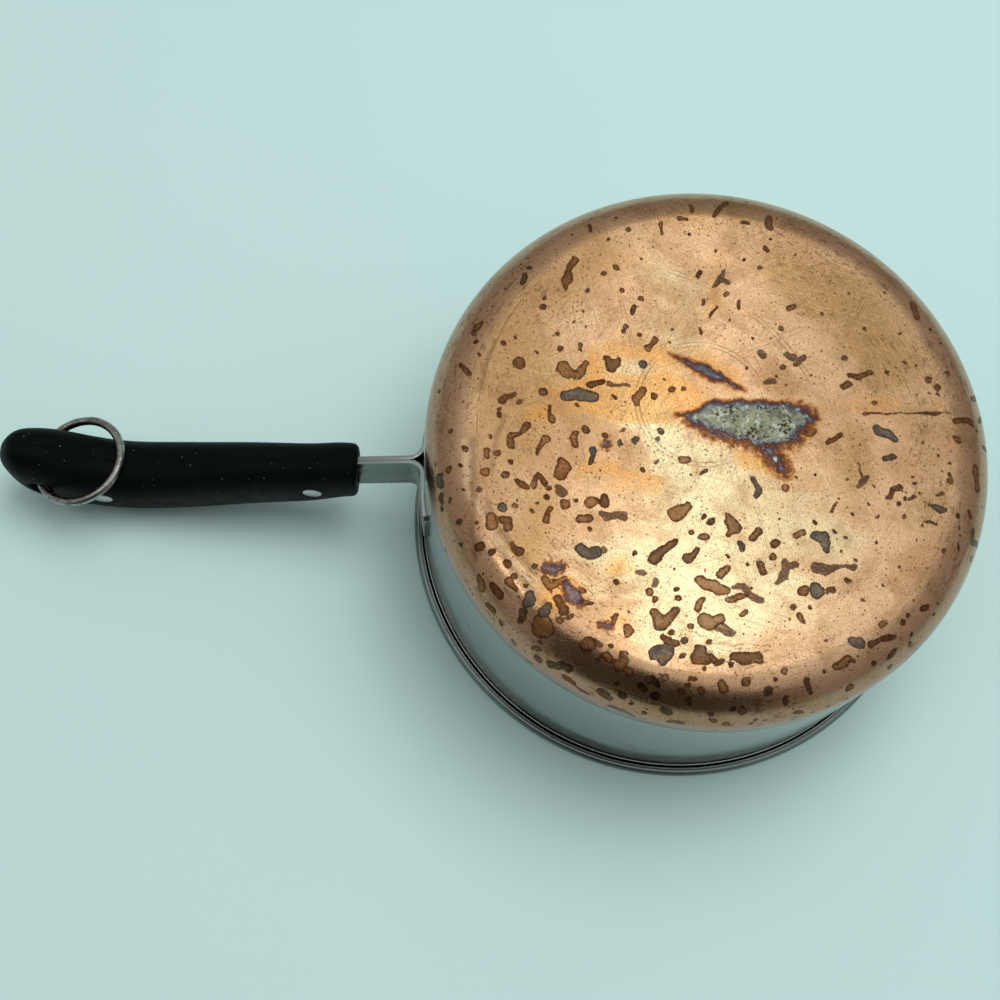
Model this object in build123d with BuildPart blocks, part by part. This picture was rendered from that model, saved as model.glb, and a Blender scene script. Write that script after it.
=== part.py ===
"""Copper-bottomed stainless steel saucepan with a two-piece black handle and a hanging ring.

The pan stands as it does in the photograph, mouth down. Lengths are in millimetres. The origin is on
the pan's axis in the plane of the mouth, +Z points up to the copper base, and the handle runs along -X.
"""

import math
import os

from build123d import *

# Vessel and copper base
wall_radius = 97.8
pan_height = 101.0
shoulder_radius = 16.0
wall_thickness = 1.2
copper_thickness = 0.5
copper_climb = 20.4
bead_radius = 1.6
bead_groove_width = 0.6
mouth_edge_radius = 1.0

# Bracket, two straps back to back
strap_thickness = 1.5
strap_height = 22.0
strap_bend_radius = 4.5
strap_corner_radius = 3.0
strap_middle_height = 44.9
strap_slope = 0.25
wing_angle = 14.0
tang_height = 14.0
tang_clearance = 0.15
tang_overhang = 9.0

# Handle, measured along -X from its front end
bracket_reach = 24.8
handle_length = 135.0
handle_width = 24.0
handle_height = 37.6
handle_drop = 22.0
front_edge_radius = 2.4
squareness = 2.6

# Rivets
rivet_head_diameter = 7.4
rivet_head_thickness = 1.6
rivet_shank_diameter = 4.0
rivet_clearance = 0.1
rivet_recess = 0.15
front_rivet_distance = 16.8
rear_rivet_share = 0.723
front_rivet_rise = 1.6
rear_rivet_rise = 2.2

# Hanging ring and its hole in the handle
ring_radius = 16.8
ring_wire_diameter = 3.2
ring_hole_diameter = 9.2
ring_hole_share = 0.8874
ring_hole_rise = 0.35
ring_hole_offset = 2.6
ring_rest_gap = 0.45
ring_roll_angle = 4.0
hole_mouth_radius = 1.2

# Worked out from the sizes above
inner_radius = wall_radius - wall_thickness
copper_edge = pan_height - copper_climb
shoulder_height = pan_height - shoulder_radius
shoulder_start = wall_radius - shoulder_radius
rim_radius = wall_radius + bead_groove_width + 2 * bead_radius
handle_front = -(wall_radius + bracket_reach)
handle_low_middle = strap_middle_height - strap_slope * bracket_reach - handle_drop
rear_rivet_distance = handle_length * rear_rivet_share
tang_length = rear_rivet_distance + tang_overhang
ring_hole_distance = handle_length * ring_hole_share
overrun = pan_height

# Handle sections from the bracket to the tip: place along the length, height of the middle above its
# lowest run, width and height, each as a share of the handle's own size
handle_shares = [
    (0.000, 1.000, 0.72, 0.68),
    (0.110, 0.800, 0.79, 0.74),
    (0.225, 0.615, 0.83, 0.79),
    (0.340, 0.440, 0.88, 0.81),
    (0.428, 0.285, 0.92, 0.82),
    (0.517, 0.140, 0.96, 0.81),
    (0.607, 0.020, 0.99, 0.79),
    (0.690, 0.000, 1.00, 0.79),
    (0.775, 0.110, 1.00, 0.87),
    (0.826, 0.225, 0.98, 0.96),
    (0.870, 0.325, 0.94, 1.00),
    (0.911, 0.400, 0.88, 0.96),
    (0.940, 0.470, 0.79, 0.88),
    (0.962, 0.520, 0.66, 0.74),
    (0.982, 0.555, 0.47, 0.53),
    (0.995, 0.570, 0.24, 0.28),
]
section_points = 24
section_turns = [step / section_points for step in range(section_points + 1)]
settling_rounds = 6


def handle_middle(distance):
    """Give the height of the handle's middle at a distance from its front end."""
    place = distance / handle_length
    after = next(number for number, shares in enumerate(handle_shares) if shares[0] >= place)
    behind, ahead = handle_shares[after - 1], handle_shares[after]
    blend = (place - behind[0]) / (ahead[0] - behind[0])
    return handle_low_middle + handle_drop * (behind[1] + (ahead[1] - behind[1]) * blend)


front_rivet_height = handle_middle(front_rivet_distance) + front_rivet_rise
rear_rivet_height = handle_middle(rear_rivet_distance) + rear_rivet_rise
ring_hole_height = handle_middle(ring_hole_distance) + ring_hole_rise
tang_slope = (front_rivet_height - rear_rivet_height) / (rear_rivet_distance - front_rivet_distance)


def band(outer_inset, inner_inset):
    """Draw one closed band over the base and the shoulder, ending at the copper's edge on the wall."""
    centre = (shoulder_start, shoulder_height)
    with BuildLine() as line:
        Line((0, pan_height - outer_inset), (shoulder_start, pan_height - outer_inset))
        CenterArc(centre, shoulder_radius - outer_inset, 0, 90)
        Polyline(
            (wall_radius - outer_inset, shoulder_height),
            (wall_radius - outer_inset, copper_edge),
            (wall_radius - inner_inset, copper_edge),
            (wall_radius - inner_inset, shoulder_height),
        )
        CenterArc(centre, shoulder_radius - inner_inset, 0, 90)
        Polyline(
            (shoulder_start, pan_height - inner_inset),
            (0, pan_height - inner_inset),
            (0, pan_height - outer_inset),
        )
    return line.line


# Stainless steel vessel, drawn from sheet, its mouth rolled outwards into a bead with a narrow groove
# between the bead and the wall
groove_radius = bead_groove_width / 2
groove_middle = (wall_radius + groove_radius, bead_radius)
bead_middle = (rim_radius - bead_radius, bead_radius)
mouth_edge_middle = (inner_radius + mouth_edge_radius, mouth_edge_radius)
with BuildPart() as vessel:
    with BuildSketch(Plane.XZ):
        add(band(copper_thickness, wall_thickness))
        make_face()
        with BuildLine():
            Polyline(
                (inner_radius, mouth_edge_middle[1]),
                (inner_radius, copper_edge),
                (wall_radius, copper_edge),
                (wall_radius, groove_middle[1]),
            )
            CenterArc(groove_middle, groove_radius, 180, 180)
            CenterArc(bead_middle, bead_radius, 180, -270)
            Line((bead_middle[0], 0), (mouth_edge_middle[0], 0))
            CenterArc(mouth_edge_middle, mouth_edge_radius, 270, -90)
        make_face()
    revolve(axis=Axis.Z)
vessel.part.label = "vessel"

# Copper cladding over the base, the shoulder and the foot of the wall
with BuildPart() as copper_base:
    with BuildSketch(Plane.XZ):
        add(band(0, copper_thickness))
        make_face()
    revolve(axis=Axis.Z)
copper_base.part.label = "copper_base"


def tang_middle(distance):
    """Give the height of the tang's middle at a distance from the handle's front end."""
    return front_rivet_height - tang_slope * (distance - front_rivet_distance)


def tang_outline(clearance):
    """Give the side outline of the tang inside the handle, grown by a clearance."""
    half_height = tang_height / 2 + clearance
    end = handle_front - tang_length - clearance
    return [
        (handle_front, tang_middle(0) + half_height),
        (end, tang_middle(tang_length) + half_height),
        (end, tang_middle(tang_length) - half_height),
        (handle_front, tang_middle(0) - half_height),
    ]


def strap_edge(rise):
    """Give the strap's edge line outside the handle, a rise above its middle."""
    return [
        (0, strap_middle_height + rise),
        (-wall_radius, strap_middle_height + rise),
        (handle_front, strap_middle_height - strap_slope * bracket_reach + rise),
    ]


rivet_places = [
    (handle_front - front_rivet_distance, front_rivet_height),
    (handle_front - rear_rivet_distance, rear_rivet_height),
]
shank_hole_radius = rivet_shank_diameter / 2 + rivet_clearance

# Near strap of the bracket: a wing welded to the wall, a bend, and a tang that runs into the handle
bend_offset = strap_thickness + strap_bend_radius
bend_reach = wall_radius + bend_offset
bend_middle = -math.sqrt(bend_reach**2 - bend_offset**2)
bend_angle = math.degrees(math.asin(bend_offset / bend_reach))
bend_centre = (bend_middle, -bend_offset)
tang_end = handle_front - tang_length
wing_radius = wall_radius + strap_thickness
wing_turn = math.radians(180 + wing_angle)
with BuildPart() as near_bracket:
    with BuildSketch(Plane.XY):
        with BuildLine():
            Line((tang_end, 0), (bend_middle, 0))
            CenterArc(bend_centre, bend_offset, 90, bend_angle - 90)
            CenterArc((0, 0), wall_radius, 180 + bend_angle, wing_angle - bend_angle)
            Line(
                (wall_radius * math.cos(wing_turn), wall_radius * math.sin(wing_turn)),
                (wing_radius * math.cos(wing_turn), wing_radius * math.sin(wing_turn)),
            )
            CenterArc((0, 0), wing_radius, 180 + bend_angle, wing_angle - bend_angle)
            CenterArc(bend_centre, strap_bend_radius, 90, bend_angle - 90)
            Polyline(
                (bend_middle, -strap_thickness),
                (tang_end, -strap_thickness),
                (tang_end, 0),
            )
        make_face()
    extrude(amount=pan_height)
    with BuildSketch(Plane.XZ):
        with BuildLine():
            Polyline(
                *strap_edge(strap_height / 2),
                *tang_outline(0),
                *reversed(strap_edge(-strap_height / 2)),
                close=True,
            )
        make_face()
    extrude(amount=overrun, mode=Mode.INTERSECT)
    with BuildSketch(Plane.XZ):
        with Locations(*rivet_places):
            Circle(shank_hole_radius)
    extrude(amount=overrun, mode=Mode.SUBTRACT)
    wing_end = near_bracket.faces().sort_by(Axis.Y)[0]
    fillet(wing_end.edges().filter_by(Axis.Z, reverse=True), strap_corner_radius)
near_bracket.part.label = "near_bracket"

# Far strap, the near one's mirror image
with BuildPart() as far_bracket:
    mirror(near_bracket.part, about=Plane.XZ)
far_bracket.part.label = "far_bracket"


def signed_power(value, power):
    """Raise the size of a value to a power and keep its sign."""
    return math.copysign(abs(value) ** power, value)


def handle_section(along_share, lift_share, width_share, height_share):
    """Give the plane and the outline points of one handle section."""
    plane_origin = (
        handle_front - handle_length * along_share,
        0,
        handle_low_middle + handle_drop * lift_share,
    )
    plane = Plane(origin=plane_origin, x_dir=(0, 1, 0), z_dir=(1, 0, 0))
    half_width = handle_width * width_share / 2
    half_height = handle_height * height_share / 2
    points = []
    for share in section_turns[:-1]:
        turn = 2 * math.pi * share
        across = half_width * signed_power(math.cos(turn), 2 / squareness)
        up = half_height * signed_power(math.sin(turn), 2 / squareness)
        points.append((across, up))
    return plane, points


# Whole handle body before it is parted, lofted through its sections
with BuildPart() as handle_body:
    for shares in handle_shares:
        section_plane, outline = handle_section(*shares)
        with BuildSketch(section_plane):
            with BuildLine():
                add(Edge.make_spline(outline, periodic=True, parameters=section_turns))
            make_face()
    loft()
    fillet(handle_body.faces().sort_by(Axis.X)[-1].edges(), front_edge_radius)


def handle_reach(start, direction):
    """Give how far the handle's surface stands from a point of its middle plane along a direction."""
    hits = handle_body.part.find_intersection_points(Axis(start, direction))
    return max((point - Vector(start)).dot(Vector(direction)) for point, _ in hits)


ring_hole_place = (handle_front - ring_hole_distance, ring_hole_height)
rivet_half_lengths = [
    handle_reach((place[0], 0, place[1]), (0, 1, 0)) - rivet_recess for place in rivet_places
]

# Near half of the handle, with its tang pocket, rivet holes, head seats and ring hole
with BuildPart() as near_grip:
    add(handle_body.part)
    split(bisect_by=Plane.XZ, keep=Keep.TOP)
    with BuildSketch(Plane.XZ):
        with BuildLine():
            Polyline(*tang_outline(tang_clearance), close=True)
        make_face()
    extrude(amount=strap_thickness + tang_clearance, mode=Mode.SUBTRACT)
    with BuildSketch(Plane.XZ):
        with Locations(ring_hole_place):
            Circle(ring_hole_diameter / 2)
    extrude(amount=overrun, mode=Mode.SUBTRACT)
    fillet(near_grip.edges(Select.LAST).sort_by(Axis.Y)[0], hole_mouth_radius)
    with BuildSketch(Plane.XZ):
        with Locations(*rivet_places):
            Circle(shank_hole_radius)
    extrude(amount=overrun, mode=Mode.SUBTRACT)
    for rivet_place, half_length in zip(rivet_places, rivet_half_lengths):
        with BuildSketch(Plane.XZ.offset(half_length - rivet_head_thickness)):
            with Locations(rivet_place):
                Circle(rivet_head_diameter / 2 + rivet_clearance)
        extrude(amount=overrun, mode=Mode.SUBTRACT)
near_grip.part.label = "near_grip"

# Far half of the handle, the near one's mirror image
with BuildPart() as far_grip:
    mirror(near_grip.part, about=Plane.XZ)
far_grip.part.label = "far_grip"


def make_rivet(place, half_length, label):
    """Make one rivet through both halves and both straps, with a flush head at each end."""
    middle = Plane(origin=(place[0], 0, place[1]), x_dir=(1, 0, 0), z_dir=(0, 1, 0))
    with BuildPart() as rivet:
        with BuildSketch(middle):
            Circle(rivet_shank_diameter / 2)
        extrude(amount=half_length, both=True)
        for head_plane in (middle.offset(half_length), middle.offset(rivet_head_thickness - half_length)):
            with BuildSketch(head_plane):
                Circle(rivet_head_diameter / 2)
            extrude(amount=-rivet_head_thickness)
    rivet.part.label = label
    return rivet.part


front_rivet = make_rivet(rivet_places[0], rivet_half_lengths[0], "front_rivet")
rear_rivet = make_rivet(rivet_places[1], rivet_half_lengths[1], "rear_rivet")

# Hanging ring of round wire, lying forward over the handle's neck
ring_lever = 2 * ring_radius - ring_hole_offset
rest_angle = 0
for _ in range(settling_rounds):
    neck_distance = ring_hole_distance - ring_lever * math.cos(rest_angle)
    neck_top = handle_reach((handle_front - neck_distance, 0, 0), (0, 0, 1))
    wire_height = neck_top + ring_wire_diameter / 2 + ring_rest_gap
    rest_angle = math.asin((wire_height - ring_hole_height) / ring_lever)
roll_angle = math.radians(ring_roll_angle)
forward = (math.cos(rest_angle), 0, math.sin(rest_angle))
ring_normal = (
    -math.sin(rest_angle) * math.cos(roll_angle),
    math.sin(roll_angle),
    math.cos(rest_angle) * math.cos(roll_angle),
)
ring_centre = (
    ring_hole_place[0] + forward[0] * (ring_radius - ring_hole_offset),
    0,
    ring_hole_place[1] + forward[2] * (ring_radius - ring_hole_offset),
)
with BuildPart(Plane(origin=ring_centre, x_dir=forward, z_dir=ring_normal)) as hanging_ring:
    Torus(ring_radius, ring_wire_diameter / 2)
hanging_ring.part.label = "hanging_ring"

os.makedirs("parts", exist_ok=True)
pieces = [
    vessel.part,
    copper_base.part,
    near_bracket.part,
    far_bracket.part,
    near_grip.part,
    far_grip.part,
    front_rivet,
    rear_rivet,
    hanging_ring.part,
]
for piece in pieces:
    export_step(piece, f"parts/{piece.label}.step")
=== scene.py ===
import math
import random

import bpy
import numpy
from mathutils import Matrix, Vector


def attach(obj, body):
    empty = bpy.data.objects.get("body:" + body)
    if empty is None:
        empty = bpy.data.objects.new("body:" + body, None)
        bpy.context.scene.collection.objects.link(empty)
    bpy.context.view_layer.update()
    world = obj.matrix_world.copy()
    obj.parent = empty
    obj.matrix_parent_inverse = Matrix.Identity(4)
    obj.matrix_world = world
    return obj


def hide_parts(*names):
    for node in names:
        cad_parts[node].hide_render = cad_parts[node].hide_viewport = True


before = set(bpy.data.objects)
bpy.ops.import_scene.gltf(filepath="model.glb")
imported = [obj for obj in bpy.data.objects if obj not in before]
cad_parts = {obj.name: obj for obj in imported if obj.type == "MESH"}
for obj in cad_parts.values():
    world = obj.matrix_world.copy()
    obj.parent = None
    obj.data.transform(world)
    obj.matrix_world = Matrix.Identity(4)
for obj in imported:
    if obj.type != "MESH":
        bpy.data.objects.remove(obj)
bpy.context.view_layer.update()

# Camera
# A phone held above the pan, a little on the handle's near side, looking almost straight down.
bpy.ops.object.camera_add(
    location=(-0.0859, -0.1777, 0.5473),
    rotation=(math.radians(18.305), math.radians(-2.861), math.radians(2.894)),
)
camera = bpy.context.object
camera.data.lens = 51.58
camera.data.clip_start = 0.01
bpy.context.scene.camera = camera
bpy.context.scene.view_settings.view_transform = "Standard"


# Table top
# A plain pale blue-green painted board, much wider than the pan. It is the stage, not part of the pan.
def start_material(name):
    """Begin a node material; hand back the material, its node tree and its surface shader."""
    material = bpy.data.materials.new(name)
    material.use_nodes = True
    tree = material.node_tree
    return material, tree, tree.nodes["Principled BSDF"]


def place_node(tree, kind, inputs, **settings):
    """Add a node, set its options, and feed each named or numbered input a socket or a value."""
    node = tree.nodes.new(kind)
    for option, value in settings.items():
        setattr(node, option, value)
    for key, value in inputs.items():
        if isinstance(value, bpy.types.NodeSocket):
            tree.links.new(value, node.inputs[key])
        else:
            node.inputs[key].default_value = value
    return node


def millimetres(tree, stretch=(1, 1, 1), turn=0):
    """Give the place on the piece in millimetres, stretched and turned about Z where a grain needs it."""
    place = tree.nodes.new("ShaderNodeTexCoord").outputs["Object"]
    scale = tuple(1000 * part for part in stretch)
    turned = place_node(tree, "ShaderNodeMapping", {"Vector": place, "Rotation": (0, 0, math.radians(turn))})
    return place_node(
        tree, "ShaderNodeMapping", {"Vector": turned.outputs["Vector"], "Scale": scale}
    ).outputs["Vector"]


def cloud(tree, place, scale, detail=3, distortion=0):
    """Give a soft random value over a place."""
    inputs = {"Vector": place, "Scale": scale, "Detail": detail, "Distortion": distortion}
    return place_node(tree, "ShaderNodeTexNoise", inputs).outputs["Fac"]


def blend(tree, factor, under, over):
    """Lay one colour over another by a factor."""
    inputs = {0: factor, 6: under, 7: over}
    return place_node(tree, "ShaderNodeMix", inputs, data_type="RGBA").outputs[2]


bpy.ops.object.select_all(action="DESELECT")
bpy.ops.mesh.primitive_circle_add(vertices=128, radius=9, fill_type="NGON", location=(0, 0, 0))
table_top = bpy.context.object
table_top.name = "table_top"
board_paint, tree, shader = start_material("board_paint")
patches = cloud(tree, millimetres(tree), 0.006, detail=2)
board_colour = blend(tree, patches, (0.545, 0.765, 0.745, 1), (0.575, 0.785, 0.768, 1))
tree.links.new(board_colour, shader.inputs["Base Color"])
shader.inputs["Roughness"].default_value = 0.7
shader.inputs["Specular IOR Level"].default_value = 0.2
table_top.data.materials.append(board_paint)


# Studio light
# One large soft lamp overhead lights the table and the pan. Four small panels are what the polished
# metal mirrors, in a pale room with a dark curtain on its near side.
def hang_lamp(name, place, width, depth, power, seen_in_mirrors):
    """Hang one rectangular lamp that faces the pan."""
    bpy.ops.object.light_add(type="AREA", location=place)
    lamp = bpy.context.object
    lamp.name = name
    lamp.data.shape = "RECTANGLE"
    lamp.data.size = width
    lamp.data.size_y = depth
    lamp.data.energy = power
    lamp.rotation_euler = Vector(place).to_track_quat("Z", "Y").to_euler()
    lamp.visible_glossy = seen_in_mirrors


# Each lamp: name, place, width, depth, power in watts, and whether metal mirrors it
hang_lamp("ceiling_lamp", (0.24, 0.3, 1.5), 0.9, 0.9, 11.4, False)
hang_lamp("near_panel", (0.20, 0.28, 1.5), 0.26, 0.42, 0.72, True)
hang_lamp("far_panel", (0.21, 0.70, 1.5), 0.18, 0.42, 0.44, True)
hang_lamp("right_panel", (0.86, 0.14, 1.5), 0.20, 0.24, 0.12, True)
hang_lamp("left_panel", (-0.60, -0.13, 1.5), 0.26, 0.36, 0.6, True)


def rise(tree, value, low, high, start=0, end=1):
    """Turn a value between low and high smoothly into one between start and end."""
    inputs = {"Value": value, "From Min": low, "From Max": high, "To Min": start, "To Max": end}
    return place_node(tree, "ShaderNodeMapRange", inputs, interpolation_type="SMOOTHSTEP").outputs["Result"]


def vectors(tree, operation, *values):
    """Join places or directions by one operation; hand back the node's outputs."""
    return place_node(tree, "ShaderNodeVectorMath", dict(enumerate(values)), operation=operation).outputs


# The room round the table: grey-white walls, a lighter ceiling and the curtain
room = bpy.data.worlds.new("room")
bpy.context.scene.world = room
room.use_nodes = True
tree = room.node_tree
look = tree.nodes.new("ShaderNodeTexCoord").outputs["Generated"]
height = place_node(tree, "ShaderNodeSeparateXYZ", {"Vector": look}).outputs["Z"]
walls = blend(tree, rise(tree, height, 0.1, 0.7), (0.335, 0.34, 0.335, 1), (0.445, 0.45, 0.445, 1))
walls = blend(tree, rise(tree, height, 0.65, 1.05), walls, (0.90, 0.905, 0.90, 1))
for curtain_side, edge, middle in (((-0.07, -0.90, 0.42), 0.72, 0.90), ((-0.2, -0.52, 0.83), 0.905, 0.96)):
    side = tuple(Vector(curtain_side).normalized())
    toward = vectors(tree, "DOT_PRODUCT", look, side)["Value"]
    walls = blend(tree, rise(tree, toward, edge, middle), walls, (0.058, 0.058, 0.052, 1))
tree.links.new(walls, tree.nodes["Background"].inputs["Color"])
tree.nodes["Background"].inputs["Strength"].default_value = 1.0


# Vessel
# The pan itself, one sheet of stainless steel drawn to shape and polished in rings. Its mouth is
# rolled outwards into a bead, with a narrow groove between the bead and the wall.
def sums(tree, operation, *values):
    """Join values by one arithmetic operation."""
    return place_node(tree, "ShaderNodeMath", dict(enumerate(values)), operation=operation).outputs[0]


def times(tree, *values):
    """Multiply two values."""
    return sums(tree, "MULTIPLY", *values)


def plus(tree, *values):
    """Add two values."""
    return sums(tree, "ADD", *values)


def roughen(tree, shader, height, distance, strength=1.0):
    """Raise the surface by a height value, as a bump of a distance in metres."""
    inputs = {"Height": height, "Distance": distance, "Strength": strength}
    tree.links.new(place_node(tree, "ShaderNodeBump", inputs).outputs["Normal"], shader.inputs["Normal"])


def away_from_axis(tree, spot):
    """Give how far a place lies from the pan's own axis."""
    flat_spot = vectors(tree, "MULTIPLY", spot, (1, 1, 0))[0]
    return vectors(tree, "LENGTH", flat_spot)["Value"]


def arc(middle, radius, start, end, steps):
    """Give the points of a profile arc; angles are in degrees."""
    turns = [math.radians(start + (end - start) * step / steps) for step in range(steps + 1)]
    return [(middle[0] + radius * math.cos(turn), middle[1] + radius * math.sin(turn)) for turn in turns]


def run(start, end, steps):
    """Give evenly spaced points of a straight profile run, without its last point."""
    shares = [step / steps for step in range(steps)]
    return [tuple(a + (b - a) * share for a, b in zip(start, end)) for share in shares]


def turn_on_lathe(name, profile, steps):
    """Draw a profile of radius and height points and spin it once round the Z axis."""
    bpy.ops.object.select_all(action="DESELECT")
    bpy.ops.mesh.primitive_plane_add(size=0.001, location=(0, 0, 0))
    piece = bpy.context.object
    piece.name = name
    piece.data.name = name
    bpy.ops.object.mode_set(mode="EDIT")
    bpy.ops.mesh.select_all(action="SELECT")
    bpy.ops.mesh.merge(type="CENTER")
    bpy.ops.transform.translate(value=(profile[0][0], 0, profile[0][1]))
    for before, after in zip(profile, profile[1:]):
        step = (after[0] - before[0], 0, after[1] - before[1])
        bpy.ops.mesh.extrude_vertices_move(TRANSFORM_OT_translate={"value": step})
    bpy.ops.mesh.select_all(action="SELECT")
    bpy.ops.mesh.spin(steps=steps, angle=math.tau, center=(0, 0, 0), axis=(0, 0, 1))
    bpy.ops.mesh.select_all(action="SELECT")
    bpy.ops.mesh.remove_doubles(threshold=0.000001)
    bpy.ops.mesh.normals_make_consistent(inside=False)
    bpy.ops.object.mode_set(mode="OBJECT")
    bpy.ops.object.shade_smooth_by_angle(angle=math.radians(40))
    return piece


wall_outside = 0.0978
sheet = 0.0012
copper_sheet = 0.0005
top = 0.101
shoulder = 0.016
copper_foot = 0.0806
bead = 0.0016
groove = 0.0003
mouth_edge = 0.001
shoulder_middle = (wall_outside - shoulder, top - shoulder)
crest = 0.0004
crest_height = 0.0036
bead_middle = (wall_outside + 2 * groove + bead, bead)
inside = wall_outside - sheet
under_copper = wall_outside - copper_sheet
turn_steps = 360
vessel_profile = [
    (0, top - copper_sheet),
    *run((0.002, top - copper_sheet), (shoulder_middle[0], top - copper_sheet), 8),
    *arc(shoulder_middle, shoulder - copper_sheet, 90, 0, 14),
    (under_copper, copper_foot),
    (wall_outside, copper_foot),
    *run((wall_outside, copper_foot - 0.0002), (wall_outside, crest_height + 0.002), 10),
    *arc((wall_outside - crest, crest_height), crest * 1.6, 50, -50, 8),
    (wall_outside + 0.00005, bead),
    (wall_outside + 0.0001, 0.0006),
    (wall_outside + 2 * groove - 0.0001, 0.0004),
    *arc(bead_middle, bead, 180, -90, 28),
    (inside + mouth_edge + 0.0005, 0),
    *arc((inside + mouth_edge, mouth_edge), mouth_edge, 270, 180, 8),
    *run((inside, mouth_edge + 0.002), (inside, shoulder_middle[1]), 6),
    *arc(shoulder_middle, shoulder - sheet, 0, 90, 12),
    *run((shoulder_middle[0] - 0.001, top - sheet), (0.002, top - sheet), 8),
    (0, top - sheet),
]
vessel_wall = turn_on_lathe("vessel_wall", vessel_profile, turn_steps)
vessel_steel, tree, shader = start_material("vessel_steel")
ring_grain = cloud(tree, millimetres(tree, (0.02, 0.02, 6)), 1.0, detail=5)
handling = cloud(tree, millimetres(tree), 0.045, detail=4, distortion=0.6)
smudges = rise(tree, cloud(tree, millimetres(tree), 0.11, detail=5, distortion=1.2), 0.60, 0.72)
steel_tone = blend(tree, handling, (0.31, 0.335, 0.32, 1), (0.38, 0.405, 0.39, 1))
steel_tone = blend(tree, times(tree, smudges, 0.35), steel_tone, (0.24, 0.26, 0.25, 1))

# Painted shade and painted highlights near the mouth, placed by height above the table and by distance from
# the axis, both in millimetres
spot = millimetres(tree)
above_table = place_node(tree, "ShaderNodeSeparateXYZ", {"Vector": spot}).outputs["Z"]
from_axis = away_from_axis(tree, spot)
groove_middle = 98.2
on_wall = rise(tree, from_axis, 98.3, 98.1)
# Painted shade: the wall is painted darker towards the mouth, where it mirrors the shadow on the table
painted_foot_shade = times(tree, times(tree, rise(tree, above_table, 13, 4.6), on_wall), 0.6)
steel_tone = blend(tree, painted_foot_shade, steel_tone, (0.10, 0.12, 0.11, 1))
# Painted highlight: a bright line along the crest just above the groove
crest_highlight = times(tree, rise(tree, above_table, 2.5, 2.8), rise(tree, above_table, 4.4, 3.9))
steel_tone = blend(tree, times(tree, crest_highlight, 0.95), steel_tone, (0.74, 0.76, 0.73, 1))
# The bead carries a painted highlight on its inner half and a painted reflection of the grey-green table on
# its outer half
body_of_bead = rise(tree, from_axis, 98.5, 98.7)
bead_highlight_and_shade = blend(tree, rise(tree, from_axis, 99.2, 99.6), (0.72, 0.76, 0.73, 1), (0.21, 0.26, 0.245, 1))
steel_tone = blend(tree, body_of_bead, steel_tone, bead_highlight_and_shade)
# Painted shade: the narrow groove between the wall and the bead is painted nearly black
groove_reach = sums(tree, "ABSOLUTE", sums(tree, "SUBTRACT", from_axis, groove_middle))
groove_shade = times(tree, rise(tree, groove_reach, 0.7, 0.4), rise(tree, above_table, 2.8, 2.4))
steel_tone = blend(tree, groove_shade, steel_tone, (0.006, 0.009, 0.008, 1))
tree.links.new(steel_tone, shader.inputs["Base Color"])
shader.inputs["Metallic"].default_value = 1
on_bead = times(tree, rise(tree, from_axis, 98.8, 99.4), 0.2)
shine = plus(tree, rise(tree, handling, 0.3, 0.7, 0.10, 0.17), times(tree, smudges, 0.12))
tree.links.new(plus(tree, shine, on_bead), shader.inputs["Roughness"])
roughen(tree, shader, ring_grain, 0.000004)
vessel_wall.data.materials.append(vessel_steel)
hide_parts("vessel")
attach(vessel_wall, "pan")


# Copper base
# A thin copper skin bonded over the pan's bottom and shoulder. Years on a stove have left water marks,
# slate-grey and purple scorching, and one burnt patch with heat colours in the middle.
copper_steps, base_steps, shoulder_steps = ((600, 96, 30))
copper_profile = [
    (0, top),
    *run((0.0008, top), (shoulder_middle[0], top), base_steps),
    *arc(shoulder_middle, shoulder, 90, 0, shoulder_steps),
    *run((wall_outside, shoulder_middle[1] - 0.0008), (wall_outside, copper_foot + 0.0001), 5),
    *arc((wall_outside - 0.0001, copper_foot + 0.0001), 0.0001, 0, -90, 2),
    (under_copper, copper_foot),
    *arc(shoulder_middle, shoulder - copper_sheet, 0, 90, 6),
    (0, top - copper_sheet),
]
copper_skin = turn_on_lathe("copper_skin", copper_profile, copper_steps)
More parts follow.
